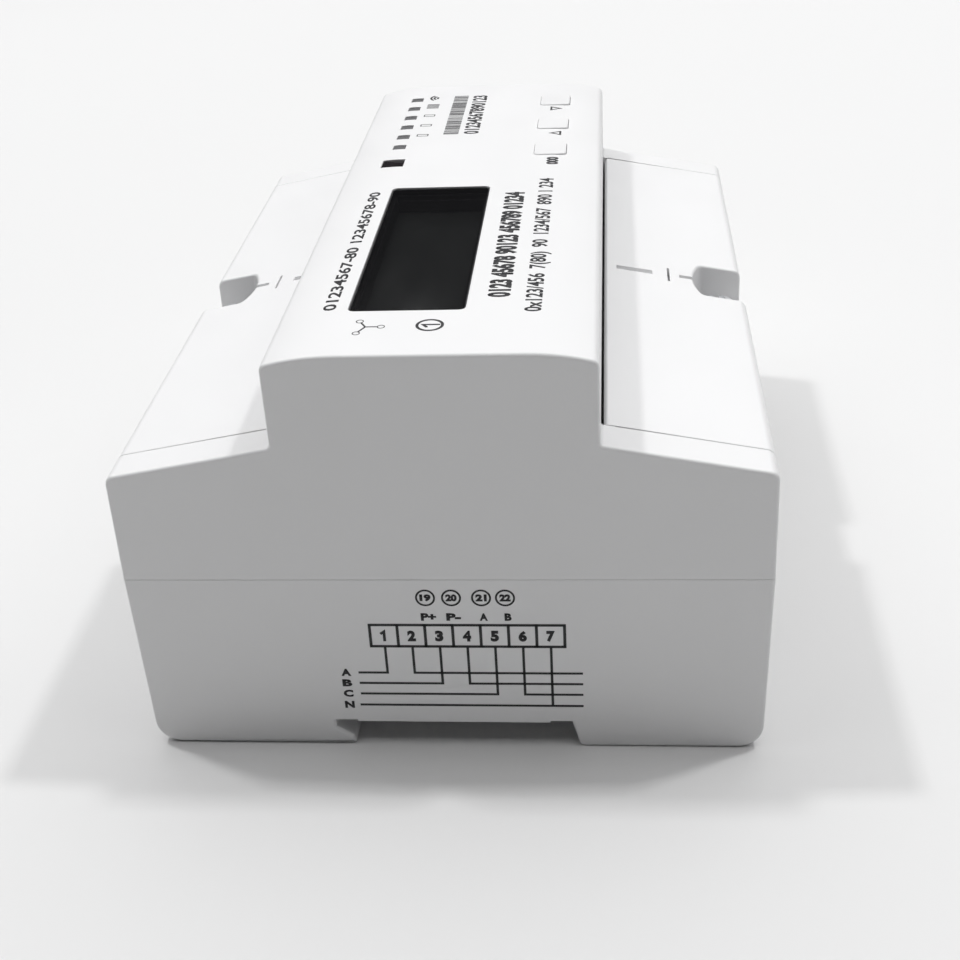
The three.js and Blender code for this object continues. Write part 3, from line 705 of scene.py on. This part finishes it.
def slab(low, high, radius, bottom, top):
    """An upright slab with rounded corners."""
    shape = bmesh.new()
    rings = []
    for z in (bottom, top):
        outline = rounded_rectangle(low, high, 0.0, radius)
        rings.append([shape.verts.new(Vector((x, y, z)) * MM) for x, y in outline])
    for i in range(len(rings[0])):
        j = (i + 1) % len(rings[0])
        shape.faces.new((rings[0][i], rings[0][j], rings[1][j], rings[1][i]))
    shape.faces.new(rings[1])
    shape.faces.new(list(reversed(rings[0])))
    bmesh.ops.recalc_face_normals(shape, faces=shape.faces)
    return shape


OPENING_LOW = (WINDOW_LOW.x + WINDOW_FLANGE, WINDOW_LOW.y + WINDOW_FLANGE)
OPENING_HIGH = (WINDOW_HIGH.x - WINDOW_FLANGE, WINDOW_HIGH.y - WINDOW_FLANGE)
OPENING_RADIUS = 0.9
PANE_TOP_Z = FRONT_Z - 0.2
PANE_BOTTOM_Z = PANE_TOP_Z - 1.0
PANE_INSET = 0.25

# The lining's section as (inset, z): up the opening's wall, down beside the pane, and in under it.
LINING_SECTION = [
    (0.03, LCD_TOP_Z + 0.05),
    (0.03, PANE_TOP_Z - 0.02),
    (0.22, PANE_TOP_Z - 0.02),
    (0.22, PANE_BOTTOM_Z - 0.05),
    (0.8, PANE_BOTTOM_Z - 0.05),
    (0.8, LCD_TOP_Z + 0.05),
]


def display():
    """The pane in its opening, the dark lining round it and the cell behind it."""
    low = [v + PANE_INSET for v in OPENING_LOW]
    high = [v - PANE_INSET for v in OPENING_HIGH]
    pane = new_piece(
        "display_pane",
        slab(low, high, OPENING_RADIUS - PANE_INSET, PANE_BOTTOM_Z, PANE_TOP_Z),
        LOOKS["smoked_pane"],
        "housing",
    )
    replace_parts(pane, "display_window")
    round_edges(pane, even_width(0.12))
    lining = new_piece(
        "display_lining",
        swept_frame(LINING_SECTION, OPENING_LOW, OPENING_HIGH, OPENING_RADIUS),
        LOOKS["component_black"],
        "housing",
    )
    round_edges(lining, even_width(0.04), 2)
    detailed("lcd_module", "lcd_cell", even_width(0.12))


display()


# ---------------------------------------------------------------- everything else

ROUNDING_OF_SLOT = {
    "clip_plastic": even_width(0.25),
    "component_black": even_width(0.35, 0.1),
    "relay_case": even_width(0.4, 0.15),
    "screening_can": even_width(0.2, 0.05),
    "copper": even_width(0.18),
    "cage_brass": even_width(0.25),
    "screw_steel": even_width(0.2, 0.05),
    "terminal_block": even_width(0.2),
    "circuit_board": even_width(0.08),
    "ribbon": even_width(0.12),
}
replaced = {node for o in bpy.data.objects for node in o.get("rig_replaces", [])}
for node in sorted(frame["nodes"]):
    if node not in replaced:
        detailed(node, f"{node}_detail", ROUNDING_OF_SLOT[SLOT_OF[node]], segments=2)


# ---------------------------------------------------------------- printing


def flat_letters(text, weight):
    """The filled outlines of a text as a flat mesh."""
    letters = bpy.data.curves.new("letters", "FONT")
    letters.body = text
    letters.offset = weight
    letters.resolution_u = 3
    holder = bpy.data.objects.new("letters", letters)
    bpy.context.scene.collection.objects.link(holder)
    graph = bpy.context.evaluated_depsgraph_get()
    mesh = bpy.data.meshes.new_from_object(holder.evaluated_get(graph))
    bpy.data.objects.remove(holder)
    return mesh


def print_text(sheet, text, low, high, weight=0.0):
    """Adds a text to a flat sheet, fitted between two corners."""
    mesh = flat_letters(text, weight)
    us = [v.co.x for v in mesh.vertices]
    vs = [v.co.y for v in mesh.vertices]
    scale_u = (high[0] - low[0]) / (max(us) - min(us))
    scale_v = (high[1] - low[1]) / (max(vs) - min(vs))
    for vertex in mesh.vertices:
        u = low[0] + (vertex.co.x - min(us)) * scale_u
        v = low[1] + (vertex.co.y - min(vs)) * scale_v
        vertex.co = (u, v, 0)
    sheet.from_mesh(mesh)


def print_outline(sheet, points):
    """Adds one filled outline to a flat sheet."""
    sheet.faces.new([sheet.verts.new((u, v, 0)) for u, v in points])


def print_box(sheet, low, high):
    print_outline(
        sheet, [(low[0], low[1]), (high[0], low[1]), (high[0], high[1]), (low[0], high[1])]
    )


def print_ring(sheet, centre, radius, stroke, start=0, sweep=360, steps=32):
    """Adds a ring, or an arc of one, as a strip of short pieces."""
    count = max(2, round(steps * sweep / 360))
    angles = [math.radians(start + sweep * i / count) for i in range(count + 1)]
    rows = [
        [
            sheet.verts.new((centre[0] + r * math.cos(a), centre[1] + r * math.sin(a), 0))
            for r in (radius - stroke / 2, radius + stroke / 2)
        ]
        for a in angles
    ]
    for (a, b), (c, d) in zip(rows, rows[1:]):
        sheet.faces.new((a, b, d, c))
    bmesh.ops.remove_doubles(sheet, verts=sheet.verts, dist=1e-5)


def print_line(sheet, points, stroke):
    """Adds a line of straight runs with mitred corners."""
    points = [Vector(p) for p in points]
    runs = [(b - a).normalized() for a, b in zip(points, points[1:])]
    left, right = [], []
    for i, point in enumerate(points):
        before = runs[max(i - 1, 0)]
        after = runs[min(i, len(runs) - 1)]
        normal = Vector((-before.y - after.y, before.x + after.x)).normalized()
        reach = stroke / 2 / normal.dot(Vector((-after.y, after.x)))
        left.append(point + normal * reach)
        right.append(point - normal * reach)
    print_outline(sheet, [tuple(p) for p in left + right[::-1]])


def print_one(sheet, low, high, stroke):
    """The digit 1: a stem with a short flag."""
    stem = high[0] - stroke / 2
    shoulder = high[1] - 0.32 * (high[1] - low[1])
    print_line(sheet, [(low[0], shoulder), (stem, high[1] - stroke / 2), (stem, low[1])], stroke)


def print_triangle(sheet, low, high, upwards, stroke):
    """The outline of an isosceles triangle that points up or down."""
    middle = (low[0] + high[0]) / 2
    base, tip = (low[1], high[1]) if upwards else (high[1], low[1])
    outer = [Vector((low[0], base)), Vector((high[0], base)), Vector((middle, tip))]
    width, height = high[0] - low[0], high[1] - low[1]
    inradius = width * height / (width + 2 * math.hypot(width / 2, height))
    centre = Vector((middle, base + math.copysign(inradius, tip - base)))
    inner = [centre + (corner - centre) * (1 - stroke / inradius) for corner in outer]
    for i in range(3):
        j = (i + 1) % 3
        print_outline(sheet, [outer[i], outer[j], inner[j], inner[i]])
    bmesh.ops.remove_doubles(sheet, verts=sheet.verts, dist=1e-5)


def raise_print(sheet, name, look, place):
    """Turns a flat sheet into thin solid ink and puts it on the housing."""
    bmesh.ops.recalc_face_normals(sheet, faces=sheet.faces)
    for face in sheet.faces:
        if face.normal.z < 0:
            face.normal_flip()
    top = bmesh.ops.extrude_face_region(sheet, geom=list(sheet.faces))["geom"]
    raised = {v for v in top if isinstance(v, bmesh.types.BMVert)}
    for vertex in sheet.verts:
        u, v, _ = vertex.co
        vertex.co = place(u, v, vertex in raised) * MM
    bmesh.ops.recalc_face_normals(sheet, faces=sheet.faces)
    return new_piece(name, sheet, look, "housing")


def on_front(u, v, raised):
    """A place on the crowned front panel. u runs along +X and v along +Y."""
    return Vector((u, v, crown_z(v) + (INK_THICKNESS if raised else -INK_THICKNESS)))


def on_end(u, v, raised):
    """A place on the left end, seen from outside. u runs along -Y and v along +Z."""
    return Vector((-END + (0 if raised else 2 * INK_THICKNESS), -u, v))


def on_compartment_floor(u, v, raised):
    """A place on the floor of a terminal compartment. u runs along +X and v along +Y."""
    return Vector((u, v, TERMINAL_FLOOR_Z + (INK_THICKNESS if raised else -INK_THICKNESS)))


def front_print():
    """Generic rows of digits, symbols and key labels round the display."""
    sheet = bmesh.new()
    print_text(sheet, "01234567-80 12345678-90", (-48.3, 14.1), (-0.1, 16.0), 0.022)
    print_text(sheet, "0123 45678 90123 456789 01234", (-44.8, -9.9), (-1.8, -6.5), 0.05)
    rating = "0x123/456  7(80)  90  1234/567  890 1 234"
    print_text(sheet, rating, (-49.8, -15.0), (4.7, -11.9), 0.022)
    print_text(sheet, "01234567890123", (30.4, 0.2), (55.2, 3.1), 0.03)
    bars(sheet, (30.5, 4.0), (55.3, 6.75))
    print_text(sheet, "000", (12.0, -14.8), (15.9, -12.7), 0.05)
    print_triangle(sheet, (28.4, -14.85), (30.9, -12.55), True, 0.36)
    print_triangle(sheet, (43.8, -14.7), (46.35, -12.4), False, 0.36)
    indicator_symbols(sheet)
    print_ring(sheet, (-53.8, 0.45), 1.72, 0.4)
    print_one(sheet, (-54.5, -0.95), (-53.45, 1.55), 0.38)
    star_symbol(sheet, Vector((-54.1, 9.12)))
    raise_print(sheet, "front_print", PANEL_INK, on_front)


def compartment_print():
    """The terminals' numbers beside their screw wells, under the covers."""
    sheet = bmesh.new()
    numbers = [(f"terminal_screw_{i}", str(i), -26.5) for i in range(1, 8)]
    numbers += [(f"aux_screw_{i}", str(i), 30.5) for i in range(19, 23)]
    for screw, digits, y in numbers:
        low, high = corners_mm(screw)
        x = (low.x + high.x) / 2
        if digits == "1":
            print_one(sheet, (x - 0.6, y - 1.4), (x + 0.4, y + 1.4), 0.4)
        else:
            half = 0.9 * len(digits)
            print_text(sheet, digits, (x - half, y - 1.4), (x + half, y + 1.4), 0.03)
    raise_print(sheet, "compartment_print", PANEL_INK, on_compartment_floor)


def bars(sheet, low, high):
    """A row of upright bars with seeded widths."""
    draw = random.Random(7)
    u = low[0]
    while u < high[0] - 0.6:
        width = draw.choice((0.17, 0.17, 0.32, 0.48))
        print_box(sheet, (u, low[1]), (u + width, high[1]))
        u += width + draw.choice((0.2, 0.2, 0.38))
    print_box(sheet, (high[0] - 0.3, low[1]), high)


def indicator_symbols(sheet):
    """Plain shapes beside the indicators: three boxes, a row of bars and a fan of arcs."""
    low, high = 9.55, 11.5
    for u in (30.3, 36.4, 42.6):
        print_line(sheet, [(u - 0.5, low), (u + 0.5, low), (u + 0.5, high)], 0.2)
        print_line(sheet, [(u + 0.5, high), (u - 0.5, high), (u - 0.5, low)], 0.2)
    for i in range(4):
        print_box(sheet, (47.4 + 0.75 * i, 9.3), (47.8 + 0.75 * i, 11.6))
    for radius in (0.6, 1.25, 1.9):
        print_ring(sheet, (54.3, 9.5), radius, 0.4, 40, 100, 40)


def star_symbol(sheet, centre):
    """Three lines from a centre, each with a small ring at its end."""
    ends = [Vector((-52.3, 10.1)), Vector((-56.1, 10.1)), Vector((-54.1, 7.0))]
    for end in ends:
        run = (end - centre).normalized()
        print_line(sheet, [tuple(centre), tuple(end - run * 0.5)], 0.26)
        print_ring(sheet, end, 0.48, 0.14, steps=20)


TERMINAL_ROW = {"left": -11.16, "cell": 3.996, "bottom": 18.15, "top": 21.92}
PHASE_LINES = {"A": 13.38, "B": 11.45, "C": 9.5, "N": 7.42}
BOX_STROKE = 0.43
WIRE_STROKE = 0.38
RING_STROKE = 0.29
DIGIT_WEIGHT = 0.065
LETTER_WEIGHT = 0.055


def end_print():
    """The wiring diagram on the left end: numbered terminals joined to three phases and neutral."""
    sheet = bmesh.new()
    row = TERMINAL_ROW
    right = row["left"] + 7 * row["cell"]
    for v in (row["top"], row["bottom"]):
        print_box(sheet, (row["left"], v - BOX_STROKE / 2), (right, v + BOX_STROKE / 2))
    for i in range(8):
        u = row["left"] + i * row["cell"]
        low_v, high_v = row["bottom"] - BOX_STROKE / 2, row["top"] + BOX_STROKE / 2
        print_box(sheet, (u - BOX_STROKE / 2, low_v), (u + BOX_STROKE / 2, high_v))
    for i in range(7):
        u = row["left"] + (i + 0.5) * row["cell"]
        if i == 0:
            print_one(sheet, (u - 0.5, 19.05), (u + 0.25, 20.95), 0.42)
        else:
            print_text(sheet, str(i + 1), (u - 0.6, 19.05), (u + 0.6, 20.95), DIGIT_WEIGHT)
    for number, u in zip((19, 20, 21, 22), (-2.75, 0.94, 5.19, 8.57)):
        print_ring(sheet, (u, 26.64), 1.28, RING_STROKE)
        print_text(sheet, str(number), (u - 0.8, 26.05), (u + 0.8, 27.25), DIGIT_WEIGHT)
    ports = (("P+", -2.49, 1.1), ("P-", 1.11, 1.05), ("A", 5.4, 0.58), ("B", 8.87, 0.5))
    for label, u, half in ports:
        print_text(sheet, label, (u - half, 22.7), (u + half, 24.0), LETTER_WEIGHT)
    wires = [(1, "A", -13.48), (3, "B", -13.48), (5, "C", -13.48)]
    wires += [(2, "A", 19.3), (4, "B", 19.3), (6, "C", 19.3)]
    for terminal, phase, end in wires:
        z = PHASE_LINES[phase]
        u = row["left"] + (terminal - 0.5) * row["cell"]
        print_line(sheet, [(u, row["bottom"]), (u, z), (end, z)], WIRE_STROKE)
    neutral = PHASE_LINES["N"]
    u = row["left"] + 6.5 * row["cell"]
    print_line(sheet, [(u, row["bottom"]), (u, neutral)], WIRE_STROKE)
    print_line(sheet, [(-13.72, neutral), (19.3, neutral)], WIRE_STROKE)
    for letter, z in PHASE_LINES.items():
        print_text(sheet, letter, (-16.05, z - 0.65), (-14.6, z + 0.65), LETTER_WEIGHT)
    raise_print(sheet, "end_print", END_INK, on_end)


front_print()
end_print()
compartment_print()


# ---------------------------------------------------------------- studio

# The camera's place in millimetres, its directions, and its lens in millimetres for a 36 mm sensor.
CAMERA_AT = Vector((-232.999, -23.735, 145.291))
CAMERA_RIGHT = Vector((0.07410488, -0.99596068, -0.05070295))
CAMERA_FORWARD = Vector((0.8597533, 0.08956686, -0.50279424))
LENS = 55.307
SENSOR_WIDTH = 36
FLOOR_RADIUS = 4.0  # metres, as are the places and sizes of the lights
FLOOR_DROP = 0.0002


def softbox(name, at, size, energy):
    """A square light that faces straight down."""
    light_data = bpy.data.lights.new(name, "AREA")
    light_data.shape = "SQUARE"
    light_data.size = size
    light_data.energy = energy
    light = bpy.data.objects.new(name, light_data)
    light.location = at
    bpy.context.scene.collection.objects.link(light)


def studio():
    """The photo's camera, a pale floor and soft light from above."""
    camera_data = bpy.data.cameras.new("camera")
    camera_data.lens = LENS
    camera_data.sensor_width = SENSOR_WIDTH
    camera_data.clip_start = 0.01
    camera = bpy.data.objects.new("camera", camera_data)
    bpy.context.scene.collection.objects.link(camera)
    right = CAMERA_RIGHT.normalized()
    back = -CAMERA_FORWARD.normalized()
    up = back.cross(right).normalized()
    turn = Matrix((right, up, back)).transposed()
    camera.matrix_world = Matrix.Translation(CAMERA_AT * MM) @ turn.to_4x4()
    bpy.context.scene.camera = camera

    floor_look = Look("floor", (0.77, 0.77, 0.77), 0.7)
    tone = floor_look.noise(3, 2)
    floor_look.feed("Base Color", floor_look.blend(tone, (0.76, 0.76, 0.76), (0.78, 0.78, 0.78)))
    shape = bmesh.new()
    bmesh.ops.create_circle(shape, cap_ends=True, segments=96, radius=FLOOR_RADIUS)
    mesh = bpy.data.meshes.new("floor")
    shape.to_mesh(mesh)
    shape.free()
    mesh.materials.append(floor_look.material)
    floor = bpy.data.objects.new("floor", mesh)
    floor.location.z = -FLOOR_DROP
    bpy.context.scene.collection.objects.link(floor)

    softbox("ceiling", (1.3, -0.1, 1.6), 4.0, 62.5)
    softbox("upper_side_lamp", (0.25, 0.68, 1.6), 0.12, 8.0)
    softbox("lower_side_lamp", (0.25, -0.68, 1.6), 0.12, 8.0)

    world = bpy.data.worlds.new("studio")
    bpy.context.scene.world = world
    world.use_nodes = True
    background = world.node_tree.nodes["Background"]
    background.inputs["Color"].default_value = (0.04, 0.04, 0.041, 1)
    background.inputs["Strength"].default_value = 1.0
    bpy.context.scene.view_settings.view_transform = "Standard"


studio()
